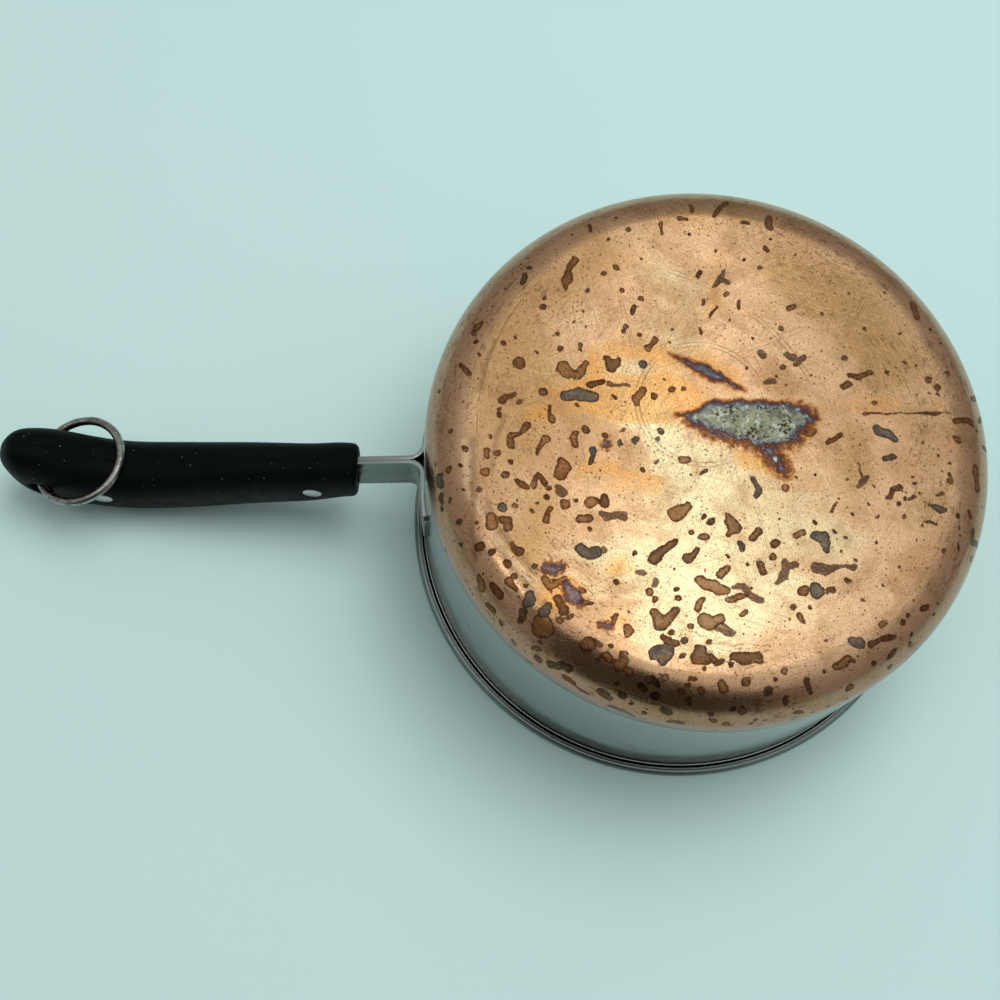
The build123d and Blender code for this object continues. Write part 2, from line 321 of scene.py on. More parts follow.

# Where each mark lies, read off the base laid out flat: chains of (x, y, radius) in millimetres
water_stains = [
    [(-49.5, 61, 1.5), (-51.3, 57, 0.9), (-52, 53, 2), (-52.2, 49.5, 0.6)],
    [(-66.5, 54, 1.1), (-67.5, 51, 1.1)], [(-44.6, 75.6, 0.6), (-44.6, 72.8, 0.6)], [(-60, 41.7, 1.3)],
    [(-82.2, 33.5, 1.6), (-80.8, 35.5, 0.5)], [(-87, 19.5, 0.8), (-84.3, 15.5, 1.2)], [(-44.4, 49.8, 0.9)],
    [(-44.6, 35.4, 0.7)], [(-45.8, 41.4, 0.7)], [(-77.7, 41.7, 0.6)], [(-48.8, 37.3, 0.6)], [(32.5, 2.5, 2)],
    [(38.5, -0.8, 1), (43, 2.2, 0.9)], [(-89.3, -5.2, 1)], [(-3.6, -30, 1)], [(-1.2, -32.2, 1.4)],
    [(4.3, -29, 1.2), (5.8, -31.5, 1.4), (7.3, -33.7, 1.2)], [(23.8, -18.1, 1.3)], [(23.2, -14.2, 0.8)],
    [(27.3, -14.2, 0.7)], [(27.3, -11.9, 0.6)], [(33.8, -12.7, 0.6)], [(41, -22.3, 0.5), (38.6, -26, 0.5)],
    [(-66.8, 20.4, 2.3)], [(-72.6, 27.2, 1.1)], [(-61, 25, 0.9)], [(-53.4, 27, 1.2)], [(-46.3, 28.6, 0.9)],
    [(-46.5, 26.9, 0.7)], [(-52.1, 19.8, 2.6), (-50.9, 18.1, 2.2), (-47.5, 17.9, 1.2)],
    [(-46.9, 17.3, 1.7), (-44.2, 21.8, 1.2)], [(-37.2, 24.5, 1.2), (-35.7, 21, 1.9), (-32.9, 24.2, 0.9)],
    [(-21.1, 32.6, 1.3), (-21.9, 30.9, 0.7), (-23.2, 28.9, 1.3)], [(-42.3, 14.3, 1.4), (-38.5, 15.5, 1)],
    [(-58.3, 10.4, 1.7)], [(-72.4, 6, 1.3), (-70.8, 7.5, 1.2), (-68.1, 9, 0.9)],
    [(-24.7, 13.5, 1.4), (-26.6, 10.8, 1.7), (-26.4, 8.3, 1.1)], [(-21, 11.8, 1.2)], [(-14.8, 14.2, 1.3)],
    [(-34.5, 11, 0.7), (-33.8, 9.9, 0.7)], [(-56, 5.4, 0.6), (-55.7, 2.7, 0.8), (-55.3, 1.2, 1.7)],
    [(-63.2, -1.9, 1.5), (-65.6, -4.8, 0.8), (-68.5, -6.3, 1.2), (-68.6, -9.3, 1.5)],
    [(-57, -6.4, 1.8), (-58.3, -8.7, 0.9), (-59.9, -12, 0.5)],
    [(-47.4, -3.7, 1.2), (-47.5, -5.3, 1.4), (-46.9, -8.1, 1.2)], [(-43.7, -2.3, 1.5)], [(-37.1, -4, 1.2)],
    [(-51.5, -13.8, 1.4), (-50.8, -16.2, 2.7), (-51.5, -18.9, 2.2)],
    [(-76.1, -11.9, 1.3), (-76.2, -13.3, 1.2)], [(-72.7, -12.8, 1.3)], [(-68.2, -15.2, 1.1)],
    [(-76.4, -19.5, 1.7)], [(-69.7, -19.9, 1.5)], [(-65.6, -22, 0.9), (-63.8, -23, 1.3), (-62.4, -24, 1.2)],
    [(-59.8, -20.1, 1.1), (-60.1, -23.4, 1.2)], [(-59, -19.4, 1), (-56.7, -22, 1.1)], [(-55, -23.7, 0.9)],
    [(-55.8, -26.9, 1.1)], [(-54.4, -30.9, 1.2), (-55.3, -32.9, 0.8), (-56, -35, 1.3)], [(-49.7, -28.8, 1.9)],
    [(-46, -27.7, 1)], [(-41, -27.6, 2.2)], [(-36.7, -25.6, 1.2), (-36.6, -27.7, 1.6)], [(-66.1, -30.5, 1.3)],
    [(-70.5, -31.5, 1.5)], [(-44.1, -33.4, 1.6), (-41.7, -33.6, 1.5)], [(-41.1, -37.1, 1)],
    [(-13.4, -30.1, 2.3), (-11.2, -28.8, 2.5), (-9.3, -27, 1.6)], [(-10.9, -10.6, 1.6), (-9.1, -10.9, 1.3)],
    [(-24.3, -15.4, 1)], [(-83, 31.4, 1.2)], [(-82.4, 27.5, 1)], [(-80.7, 22.5, 0.9)], [(-66.1, 6, 1.1)],
    [(-46.7, 6.5, 0.8)], [(-17.6, 18.2, 0.6)], [(-58.9, -29, 0.8)], [(-60.3, -31.7, 0.8)], [(-72.9, 3, 0.7)],
    [(-72.6, 1, 1)], [(-32, 34.6, 1)], [(-26.5, 34, 1)], [(-68.9, 30, 0.7)], [(-54.4, 32, 0.9)],
    [(-75.5, -6.8, 0.9)], [(-67.4, -50.4, 1.5)], [(-72.7, -46.4, 1.3)], [(-77.1, -45.2, 1.7)],
    [(-55.2, -55.1, 1.5), (-53.5, -57.1, 1.5), (-48.7, -54.7, 1.2)], [(-50.5, -61.5, 1.9), (-49, -64.3, 1.9)],
    [(-43.6, -61.9, 1.1), (-39.6, -61.7, 0.6)], [(-42.9, -58.1, 1.4)],
    [(-55.6, -69.5, 3.5), (-55.3, -70.8, 3.7)],
    [(-66.7, -56.1, 1.6), (-65.8, -57.3, 1.2), (-64.4, -58.9, 0.9)], [(-77.4, -55.1, 1.2), (-77, -58.5, 1.7)],
    [(-72.4, -58.1, 1.5), (-71, -59.5, 1.6), (-69.6, -61.3, 1.1)], [(-75.7, -64.8, 1.1), (-73.4, -66.1, 1.2)],
    [(-71.1, -70.8, 1.2)], [(-67.3, -78.4, 1.2)], [(-58.5, -78.2, 1.3), (-56.6, -78.5, 0.7)],
    [(-58.2, -82.7, 1.7)], [(-65.2, -86, 0.9), (-62.6, -86.9, 0.9)],
    [(-48.8, -87.6, 1.2), (-45.8, -90.3, 1.1)], [(-44.6, -91.9, 0.8), (-41.5, -94.2, 0.8)],
    [(-25.8, -94.9, 0.9)], [(-10.6, -102.1, 1.1)], [(-8.5, -102, 1.1)], [(-40.7, -75.5, 2.7)],
    [(-35, -78.4, 1.3), (-33.4, -79.9, 1.5)], [(-29.3, -78.1, 1.5)],
    [(-30.1, -81.4, 2.4), (-29.2, -80.6, 1.9)], [(-27.2, -83.7, 1.8)], [(-15.5, -84.5, 1.5)],
    [(-10.3, -88.7, 1.1)], [(-32.8, -67.8, 1), (-31.6, -65.1, 0.9)],
    [(-27.9, -69.8, 1.9), (-28.2, -71.2, 1.2)], [(-32.1, -54.5, 1.1)], [(-21.2, -56.8, 1.4)],
    [(-19.5, -59.6, 1.1)], [(-12.5, -55.4, 0.9)], [(-11.7, -58.6, 1.2)],
    [(-19.1, -64.3, 2), (-17.2, -66.9, 2.7), (-14.4, -65, 1.7), (-12.8, -62.9, 1.5)], [(-13.7, -70.1, 1.1)],
    [(-16.6, -71.8, 1.2), (-15.1, -73.1, 1.5), (-11.9, -73.1, 1.2)], [(-7.6, -67.6, 1.3)],
    [(-10.2, -77.5, 0.9)], [(-20, -45.7, 2.1), (-17.8, -43.3, 1.2), (-14.7, -40.5, 1.7), (-13.3, -39.6, 1.2)],
    [(-8.5, -44.7, 2), (-6.9, -43.6, 1.2), (-6.1, -41.7, 1)], [(-26.4, -44, 1)], [(-5.5, -61.6, 1.4)],
    [(-65.8, -45.3, 1.1)], [(-64.7, -46.7, 1)], [(-33.5, -75.7, 1)], [(-68.4, -74.9, 0.7)],
    [(-67.6, -76.8, 0.7)], [(-70.5, -85.5, 0.6)], [(-49.8, -68, 1.3)], [(-46.7, -66.9, 1)],
    [(-56.4, -75.8, 0.9)], [(-61.2, -57.2, 0.9)], [(-37.3, -80.2, 0.9)], [(-21.8, -89.1, 1)],
    [(-30.7, -87.7, 1)], [(-40.4, -103.3, 0.9)], [(-7.7, -84.3, 1)], [(-8, -91.5, 1)], [(-83.6, -11.7, 1.3)],
    [(-92.3, -27.4, 1.3), (-92.3, -28.9, 1.2)], [(-92.4, -31.7, 0.9)],
    [(-76.1, -11.9, 1.1), (-76.2, -13.7, 1.1)], [(-66.1, -30.5, 1.3)],
    [(-73.6, -35.1, 1.9), (-73.5, -37.7, 2)], [(-70.3, -35.6, 1.2), (-68.1, -35.6, 1.7), (-68.2, -38.2, 1.7)],
    [(-84.2, -44.3, 1)], [(-88.1, -28.4, 0.7)], [(-88.3, -29.5, 0.6)], [(-84.6, -17.4, 0.9)],
    [(-83.3, -26, 0.6)], [(-64.1, -46, 1.9)], [(-66.2, -44.1, 1)], [(-78.5, -37, 0.9)], [(-63, -72.8, 0.7)],
    [(-56.4, -75.9, 0.9)], [(-58.9, -78.1, 1.2)], [(-83.6, -60.1, 0.9)], [(-88.7, -58.2, 0.6)],
    [(-52, -54.9, 1)], [(4.9, -31.2, 1.9), (6.9, -33.7, 2), (4.4, -36, 1)],
    [(-4.5, -37.1, 1.2), (-3.1, -37.5, 1.2)], [(12.7, -36.5, 1.4), (14.2, -34.3, 1.4)], [(20.1, -38.1, 1.7)],
    [(27, -34.7, 1.2), (29.3, -33.7, 1.3)], [(-7.8, -35.9, 1)], [(1.6, -50, 1.3), (4.2, -47.5, 1.2)],
    [(-4.8, -51.8, 1.7), (-3, -53.3, 1.9), (0.5, -54.1, 2.3), (4.1, -54.9, 1.5)],
    [(4.2, -58.2, 1.1), (6.3, -57.8, 1.1)], [(8.1, -56.6, 1.1), (10.6, -56, 0.7)],
    [(15.2, -45.4, 1.5), (15.7, -48.1, 1.3)], [(19.1, -42.8, 1.3)], [(29.2, -53.5, 2)],
    [(37, -52.8, 1), (38.7, -52.7, 1.2)], [(43.3, -48.7, 1.1), (44.4, -48.8, 0.7)], [(-11.7, -58.6, 1.3)],
    [(-12.5, -55.4, 1)], [(-5.4, -61.3, 1.5), (-4.1, -58.7, 1.1)], [(9.1, -62.6, 0.9), (10.1, -61.7, 0.9)],
    [(25.6, -58.8, 1.1)], [(31, -58.7, 0.9)], [(27.8, -62.2, 1.1), (29, -63.6, 0.9)],
    [(-2.9, -65.3, 2.7), (-1, -66.3, 2.2), (1.8, -64.4, 1.7)], [(-7.5, -67.5, 1.2)],
    [(-4.5, -75.3, 2.2), (-5.3, -77.6, 2.5), (-3.4, -78.4, 1.9)],
    [(-1, -77.3, 1.2), (0.6, -78.7, 1.2), (2.5, -78.1, 0.9)],
    [(6.6, -76.7, 1.5), (9.9, -76.8, 2.2), (13.5, -76.6, 2), (14.7, -77.6, 1.2)], [(5, -79.4, 0.9)],
    [(39.6, -77.8, 1.3), (42.1, -76.4, 1.7), (43.1, -74.6, 1.2), (45.5, -75.7, 0.9)], [(22.7, -80.3, 1.2)],
    [(2.1, -85.6, 1.4), (3, -87.1, 1.7)], [(10.3, -84.5, 1.7)], [(-3.9, -88.3, 1.5)], [(46.3, -84.6, 1.6)],
    [(23.8, -89.3, 1.2), (24.2, -91.1, 1.2)], [(10.2, -94.2, 1.6)], [(0.4, -98.7, 0.9), (2, -99.2, 0.9)],
    [(5.1, -101, 1), (6.6, -100.9, 1)], [(28.7, -94.6, 0.9), (31.4, -95.3, 0.9)],
    [(-13.4, -102.1, 0.9), (-11.9, -101.7, 0.9)], [(-8.7, -101.7, 1)], [(19, -98.3, 0.8)],
    [(14.8, -100.5, 1)], [(15.5, -98.3, 0.8)], [(-1.8, -72.3, 0.9)], [(-10.2, -77.5, 1.1)], [(-8, -86.4, 1)],
    [(41.7, -93.1, 0.9)], [(36.2, -95.8, 0.8)], [(54.5, -96.5, 1)], [(19.6, -83.3, 0.8)], [(4.2, -43.3, 0.8)],
    [(36.3, -69.3, 0.7)], [(-3, -81.3, 0.9)], [(47.9, -90.2, 0.9)], [(-20.8, -85.7, 1.5)],
    [(-15.7, -84.5, 1.2)], [(-10.7, -88.7, 1.1)], [(-21.8, -98.5, 1)], [(-7.1, -93.2, 0.9)],
    [(33.4, -29.8, 0.8)], [(39.6, -32.4, 0.7)], [(43.3, -34.3, 0.8)], [(46.4, -41.8, 0.8)],
    [(10.8, -45.8, 0.8)], [(-9, 86, 0.9), (-8.7, 83.6, 0.9)],
    [(-0.7, 82.4, 0.9), (1.9, 86.1, 1.1), (4.4, 89.4, 0.9)], [(-19.4, 78, 0.9), (-19.2, 73.7, 0.5)],
    [(-13.1, 80, 0.9), (-10.3, 80.2, 0.7)], [(-9.1, 73.9, 0.7)], [(9.1, 80.2, 0.7), (11.8, 80.1, 0.6)],
    [(19, 82.7, 1.2), (19.2, 79.4, 1.5)], [(19.6, 74.6, 0.7)], [(17.3, 71, 0.9), (18.2, 70, 0.9)],
    [(-6.4, 57.6, 0.7), (-5.3, 59.3, 0.9)], [(-26.2, 47.7, 1.2)], [(-28.1, 44.2, 1.1), (-29.2, 41.6, 0.9)],
    [(-4.4, 49, 0.7), (-4.2, 47.3, 0.7)], [(0.4, 46.7, 0.5), (-2.1, 42.5, 0.5)],
    [(-4.9, 37.7, 0.7), (-5, 36, 0.7)], [(8.3, 49.3, 0.7), (8, 46.6, 0.6)], [(15.4, 63.1, 0.9)],
    [(25.3, 47.9, 1.1), (27.5, 48.7, 1.1)], [(37.6, 46.3, 0.9)], [(-32.8, 50.2, 1.1)], [(-34.8, 59.1, 1.2)],
    [(-39.3, 56.4, 1.1)], [(-15.1, 36.6, 0.7)], [(-26.2, 63.2, 0.6)], [(-0.2, 68.3, 0.7)], [(9.8, 65.6, 0.7)],
    [(27.5, 26.9, 0.9)], [(46.5, 24.3, 0.9), (49.8, 23.7, 1.3), (53.6, 25.6, 0.9)],
    [(43.8, 19.4, 0.9), (46, 21.2, 1.1)], [(37.2, 32.6, 0.6)], [(32.8, 23.3, 0.7)], [(23.2, 25.5, 1.1)],
    [(20.9, 21.9, 0.7)], [(10.8, 24.1, 0.9)], [(70.2, 53.7, 1.2), (70.8, 48.2, 1.3)], [(73.7, 24.6, 1.2)],
    [(76.6, 21.6, 1.1)], [(105.1, 29.8, 1.3)], [(65.6, 30.5, 0.7)], [(44.5, 34.7, 0.6)], [(52.3, 41.9, 0.9)],
    [(-37.8, 70.1, 0.6)], [(-22.5, 68.2, 0.6)], [(28.4, 68.8, 0.6)], [(57.3, 54, 0.6)], [(46.6, 54.8, 0.6)],
    [(64.5, 41.1, 0.7)], [(32.5, 84.7, 0.6)], [(5.2, 41.7, 0.6)], [(12.8, 35.7, 0.6)], [(40.5, 59.5, 0.6)],
    [(59.4, 26, 0.9)], [(69.7, 18.7, 0.7)], [(80.8, 27.7, 0.9)], [(54.9, 14.3, 1)], [(51.3, 10.4, 0.8)],
    [(51.9, 10.3, 0.4), (80.7, 12.7, 0.4)], [(82.3, 9.9, 1.2), (85.4, 10.3, 0.9), (88.5, 10.5, 1.2)],
    [(81.6, 3.7, 0.9), (83, 2.4, 1.1)], [(91.2, 7.6, 0.8)], [(47.9, -7.4, 0.4), (50, -12.6, 0.4)],
    [(58.6, -19.3, 1.1), (60, -16.4, 0.9), (62.7, -15.5, 1.2)], [(58.2, -19.7, 1.1)], [(61.9, -21.2, 0.9)],
    [(65, -19.6, 0.8), (67.2, -18.6, 0.8)], [(67.1, -13.8, 0.9)], [(66.8, -11.4, 0.6)], [(71.8, -21.2, 0.8)],
    [(79.4, -12, 1.1)], [(79, -10, 0.8)], [(80.5, -1.5, 0.6)], [(75.9, -3, 0.6)], [(70.7, 1.3, 0.8)],
    [(89.2, -6, 1.3), (89.9, -10.1, 1.2), (90.1, -13.8, 1.2)], [(86.3, -22, 0.8), (87, -23.9, 0.9)],
    [(81.4, -24.2, 0.9)], [(108.2, -14.3, 1.1)], [(51.4, -22.1, 0.6)], [(46.1, -25.7, 0.8)],
    [(54.6, -26.3, 0.8)], [(63.1, -25.8, 0.9)], [(69.7, -27.1, 0.5), (74.2, -27.6, 0.5)],
    [(43.4, -48.6, 0.6), (44.5, -48.8, 0.6)], [(42, -39.3, 0.8)], [(68.8, -56.9, 1.1), (70.8, -55.8, 0.8)],
    [(63.7, -59.2, 1)], [(61.8, -61.5, 1.2)], [(54.5, -62.9, 1.1), (56, -62.1, 1)],
    [(50.9, -69.6, 1.2), (53.9, -68.1, 1), (57.4, -67.2, 1), (59.5, -66.6, 0.6)], [(66.2, -68.5, 1.1)],
    [(60.5, -71.2, 1.1), (59, -73.1, 1.1)], [(66.2, -65.6, 0.9)], [(74.2, -58.1, 0.8)], [(65.4, -54.1, 0.6)],
    [(106.2, 30.4, 1), (91, 20.1, 1)], [(77.2, 22, 1.1)], [(76.4, 19.3, 0.9)], [(74.2, 23.7, 0.9)],
    [(73.5, 19.3, 0.6)], [(81.8, -33.1, 0.5), (82.3, -35.9, 0.5)], [(43.9, 19.7, 0.9)], [(55.5, -50.3, 0.5)],
    [(48.7, -55.2, 0.8)], [(82.4, -27.8, 0.6)], [(67.2, -33.6, 0.5)], [(53.8, -35.6, 0.6)],
    [(74.8, -42.2, 0.5)], [(61.3, -43.2, 0.5)], [(79.7, -5.8, 0.8)], [(69, -17.2, 0.6)], [(53.3, -15.9, 0.6)],
    [(64.5, -16.9, 0.6)], [(44.3, -14.1, 0.6)],
]
dark_stains = [
    [(-36.3, 15, 1.3), (-35.8, 14.8, 0.6), (-29.5, 14.8, 0.5)], [(-31.1, -1.3, 0.7)], [(-19.4, -3.8, 0.9)],
    [(-19.5, -11.8, 0.9)], [(-52.5, -23.2, 1), (-50.8, -24.8, 1.8)],
    [(-37.3, -31.4, 1.2), (-35.7, -32.2, 1.6), (-33, -31.8, 1.3), (-30.2, -31.8, 1.7)], [(-11, 15.2, 1.1)],
    [(-36.4, -44.2, 1.4)], [(-61.7, -65.9, 1.6), (-63.1, -69.1, 1.3)],
    [(-53.4, -83.6, 2), (-51.3, -83.9, 1.5)], [(-48.8, -83, 1.7), (-47.1, -83.9, 2)],
    [(-36.3, -91.4, 1.6), (-34.9, -92.5, 1.9), (-33.2, -94.3, 1.3)], [(-29.3, -91.8, 1.6)],
    [(-15.7, -96.1, 1.3), (-13.6, -96.8, 1.5)], [(-18.3, -91, 1.4)],
    [(-38.4, -74.1, 0.8), (-36.7, -75.3, 0.9)], [(-23.5, -87.5, 1.2)],
    [(-19.2, -85.6, 1.5), (-18.3, -86.8, 1.2)], [(-25.4, -50.5, 1.1), (-23.4, -51.1, 1.2)],
    [(-19.6, -52.9, 1.1), (-19.3, -54.2, 1.2)], [(-84.6, -36.5, 1.3)], [(-78, -25.9, 1.2)],
    [(-1.3, -31.9, 1.6)],
    [(6, -53.8, 0.9), (9.5, -53, 1.1), (11.4, -55.8, 1), (13.9, -57.4, 1.3), (15.5, -57.5, 0.9)],
    [(22.8, -43.8, 1.2), (24, -45.8, 1.4), (26.5, -44.8, 1.2)],
    [(24, -45.8, 1.4), (22.1, -49.2, 1.7), (20.5, -51.3, 0.8)],
    [(33.1, -45.4, 1.9), (36.4, -45.7, 2), (39.3, -45, 1.2), (43, -44.4, 0.7), (45.9, -44.1, 1.3)],
    [(1.6, -67.3, 1.7), (3.8, -68, 1.7), (6, -68.9, 1.2)], [(17.8, -87.2, 1.8)],
    [(30.1, -82.6, 1.1), (31.8, -86.9, 1.1)], [(6.7, -93.9, 1.2)], [(-18.3, -90.6, 1.5)], [(0.3, -96.4, 1.2)],
    [(-27.4, 99.7, 0.9), (-22.7, 102.8, 0.7)], [(-30.9, 74.1, 1.2)],
    [(-0.6, 54.3, 0.9), (1.9, 57.2, 1.3), (2.5, 59.9, 0.7)], [(1.9, 57.2, 1.2), (4.6, 56.4, 0.9)],
    [(3.7, 51.9, 1.1)], [(-32.1, 35.3, 0.7), (-30.9, 36.7, 1.1)], [(16, 29.7, 1.7)],
    [(25.1, 30, 1.3), (26.9, 29.5, 1.7)], [(28.5, 27, 0.9), (30.5, 29.4, 1.2)], [(44.9, 30.3, 1.2)],
    [(17.5, 19.3, 1.1), (19.9, 19.9, 1.2)], [(69.7, 11.5, 0.5), (73.7, 12.1, 0.8), (76, 12.2, 0.9)],
    [(51.8, -12.4, 0.8), (50, -14, 1.2), (48.1, -15.8, 0.9)], [(74.6, -17.7, 0.6), (76.5, -16.9, 0.9)],
    [(53.2, -76.1, 1.1)], [(61.2, -77.5, 1.2)],
]
slate_stains = [
    [(13, -16, 1), (14.5, -19.5, 1.3), (13.8, -22, 0.7)], [(-4.8, -15.2, 0.6), (-3.2, -14, 0.9)],
    [(-24.6, 23.2, 1.5)], [(-50.4, 9.7, 2.1), (-46, 10.4, 2.3), (-41.6, 10, 2.2)],
    [(-41, -9.1, 1.3), (-41.1, -11.5, 0.8), (-41.4, -14, 0.9)], [(-32.2, -5.6, 0.9), (-32.2, -6.9, 0.9)],
    [(-26.2, -4, 1), (-27, -5.2, 0.9)], [(-18.3, -0.9, 1.2)],
    [(-44.2, -44.3, 2), (-40.9, -45.4, 2.1), (-38.9, -44.8, 2.2)], [(-58.5, -50.6, 1.2)],
    [(-60, -60.5, 1.8), (-60.4, -62.8, 2.2)], [(-54.8, -65.4, 2.2), (-54, -63.5, 1.5)],
    [(-33.6, -98.9, 1.1), (-29.2, -99.9, 1.2), (-25.4, -102.9, 0.9)],
    [(-18.4, -77.2, 2.7), (-15.5, -76.6, 2.7), (-16.8, -79.1, 1.9)], [(-9.5, -72.5, 1.4)],
    [(-93, -20.9, 1.7), (-92.8, -23.5, 1.9)], [(-70.5, -31.5, 1.7)], [(8.3, -38.5, 1), (9.3, -40.7, 0.9)],
    [(33.4, -34.1, 1.5), (35.6, -34.8, 2.2)], [(36.7, -36.5, 1.9), (36.7, -38.9, 1.2)], [(33.4, -53, 2.7)],
    [(44.4, -68.8, 1.4), (46.9, -69.6, 2.1)], [(105.4, 20.4, 1.3), (94.1, 12.8, 1.2)],
    [(55.3, 4.8, 1.8), (58.5, 3.6, 1.8), (61.3, 1.6, 1.1)], [(57.6, -5.9, 0.9), (60.5, -4.5, 1.2)],
    [(72.8, -21.6, 1), (75.5, -22.4, 1.2), (77.4, -22, 0.8)], [(94.5, 3, 0.9), (104.5, 2, 1.1)],
    [(88.9, -28.4, 1.2), (89.1, -31.8, 1.2), (105.6, -33.5, 0.8)],
]
purple_stains = [
    [(-36.5, -7.2, 1.3)], [(-55.4, -51.1, 1.4), (-52.1, -51.6, 1.9), (-50.3, -50.5, 1.4)],
    [(-48.2, -57.2, 1.9), (-46.1, -59.2, 2.7), (-44.3, -61.5, 1.7)],
    [(-36.8, -68.9, 0.9), (-34.1, -68.9, 1.3)],
]
# Painted shade along the crease of a dent in the left shoulder
dent_shade_lines = [
    [(-81.2, -7.8, 0.8), (-80.2, -19.1, 0.9), (-80, -29.4, 0.9), (-79.9, -39.4, 0.9), (-78.8, -49.3, 0.7)],
    [(-75.4, -29.2, 0.8), (-70.6, -39.2, 1), (-63.6, -47.6, 0.9), (-57.5, -53.6, 0.6)],
    [(-79.8, 9.6, 0.6), (-78.3, 20, 0.7), (-76, 27.6, 0.6)],
    [(-70.9, 1.1, 0.6), (-73.8, -8, 0.6), (-74.3, -18.7, 0.6)],
]
# Painted highlight along the ridge of the same dent
dent_highlight_lines = [
    [(-84.1, -8.7, 1.1), (-82.7, -22.6, 1.2), (-81, -29.4, 0.8)],
    [(-79, -29.4, 0.9), (-74.5, -38.8, 1.1), (-68.6, -46.6, 1.3), (-60.1, -54.8, 1.1)],
]
burnt_patch = [
    [(-9, 5, 0.8), (0, 5.4, 5.4), (10, 4.6, 7.2), (17, 4.2, 7.8), (22, 4.8, 7.2), (27, 6.8, 4.2),
     (32, 7.6, 1)],
    [(-16, 28, -0.7), (-9, 24.6, 0.7), (-3.5, 22.2, 1.7), (0, 20.6, 1.5), (4, 18.6, 0.3), (10, 15.6, -0.3)],
    [(17, -5, 1.2), (21, -9, 0.9), (23, -12, 0.5)], [(-15, 6, -1.6), (-9, 5, 0.4)],
]
orange_haze = [
    [(-32, 12, 5), (-20, 14, 8), (-11, 12, 7)], [(-34, 28, 3), (-20, 27, 5), (-6, 25, 4), (5, 20, 2)],
    [(-37, -17, 0.5), (-28, -18, 1.5), (-20, -19, 0.5)], [(-34, -66, 1.5), (-31, -66, 1)],
    [(10, -8, 1.5), (20, -12, 2.5)], [(-44, -15, 3), (-34, -16, 3), (-24, -18, 2)],
    [(-42, 22, 4), (-41, 8, 4)], [(38, 11, 0.3), (56, 12, 0.6), (76, 13, 0.2)],
    [(-60, 3, 1), (-44, 8, 2), (-34, 6, 2)], [(-2, 45, 1), (1, 62, 1)], [(-54, -67, 2), (-47, -60, 4)],
    [(-40, -50, 0.5), (-33, -51, 0.5)],
]
# Areas rubbed paler, which also carry the painted highlight of the lamps overhead
rubbed_areas_and_highlight = [
    [(-28, 20, 5), (-22, 4, 6), (-12, -12, 10), (-4, -30, 14), (-6, -50, 14), (2, -66, 9)],
    [(-13, 30, 4), (-12, 50, 4)], [(0, -50, 12), (17, -50, 8)], [(-4, -18, 11), (18, -26, 10), (30, -34, 8)],
    [(-38, -47, 6), (-22, -54, 7)],
]
browned = [
    [(-70, 34, 8), (-66, 12, 10), (-64, -8, 9)], [(-52, 14, 6), (-44, 2, 6)],
    [(24, 66, 6), (48, 50, 8), (62, 30, 6)], [(-40, 62, 5), (-58, 48, 6)],
    [(46, 2, 0.5), (47.5, -8, 1.5), (46, -14, 0.5)], [(-22, 84, 4), (4, 88, 5), (30, 84, 4)],
    [(-58, -30, 5), (-62, -48, 5)],
]


def laid_out_flat(places):
    """Give points of the copper as they lie when the shoulder is rolled out flat, in millimetres."""
    radius = numpy.hypot(places[:, 0], places[:, 1])
    lean = numpy.arctan2(radius - shoulder_middle[0], numpy.maximum(places[:, 2] - shoulder_middle[1], 0))
    rolled = shoulder_middle[0] + shoulder * numpy.clip(lean, 0, math.pi / 2)
    rolled += numpy.maximum(shoulder_middle[1] - places[:, 2], 0)
    spread = numpy.where(radius > shoulder_middle[0], rolled, radius) / numpy.maximum(radius, 0.000001)
    return places[:, 0] * spread * 1000, places[:, 1] * spread * 1000


def distance_to_marks(chains, across, along):
    """Give the distance in millimetres from each point to the nearest mark's edge, and that mark's tone."""
    nearest = numpy.full(len(across), 30.0)
    tone = numpy.zeros(len(across))
    for chain in chains:
        shade = dice.random()
        for start, end in zip(chain, chain[1:] or chain):
            run_x, run_y = end[0] - start[0], end[1] - start[1]
            length = max(run_x**2 + run_y**2, 0.0001)
            share = numpy.clip(((across - start[0]) * run_x + (along - start[1]) * run_y) / length, 0, 1)
            reach = numpy.hypot(across - start[0] - run_x * share, along - start[1] - run_y * share)
            gap = reach - start[2] - (end[2] - start[2]) * share
            tone[gap < nearest] = shade
            nearest = numpy.minimum(nearest, gap)
    return nearest, tone


def wavered(across, along):
    """Shift places a little in smooth waves, so that straight marks come out uneven."""
    side = 0.25 * numpy.sin(along * 0.9 + across * 0.25) + 0.1 * numpy.sin(along * 2.1 - across * 0.8)
    length = 0.25 * numpy.sin(across * 0.8 - along * 0.3 + 2) + 0.1 * numpy.sin(across * 1.9 + along * 0.9)
    return across + side, along + length


dice = random.Random(7)
corners = numpy.empty(len(copper_skin.data.vertices) * 3)
copper_skin.data.vertices.foreach_get("co", corners)
flat_x, flat_y = wavered(*laid_out_flat(corners.reshape(-1, 3)))
kinds_of_mark = {
    "water": water_stains, "dark": dark_stains, "slate": slate_stains, "purple": purple_stains,
    "burnt": burnt_patch, "haze": orange_haze, "bright": rubbed_areas_and_highlight, "brown": browned,
    "crease_shade": dent_shade_lines, "ridge_highlight": dent_highlight_lines,
}
for kind, chains in kinds_of_mark.items():
    edge_distance, tone = distance_to_marks(chains, flat_x, flat_y)
    copper_skin.data.attributes.new(kind, "FLOAT", "POINT").data.foreach_set("value", edge_distance)
    copper_skin.data.attributes.new(kind + "_tone", "FLOAT", "POINT").data.foreach_set("value", tone)


def ramp(tree, value, low, high, start=0, end=1):
    """Turn a value between low and high evenly into one between start and end."""
    inputs = {"Value": value, "From Min": low, "From Max": high, "To Min": start, "To Max": end}
    return place_node(tree, "ShaderNodeMapRange", inputs).outputs["Result"]


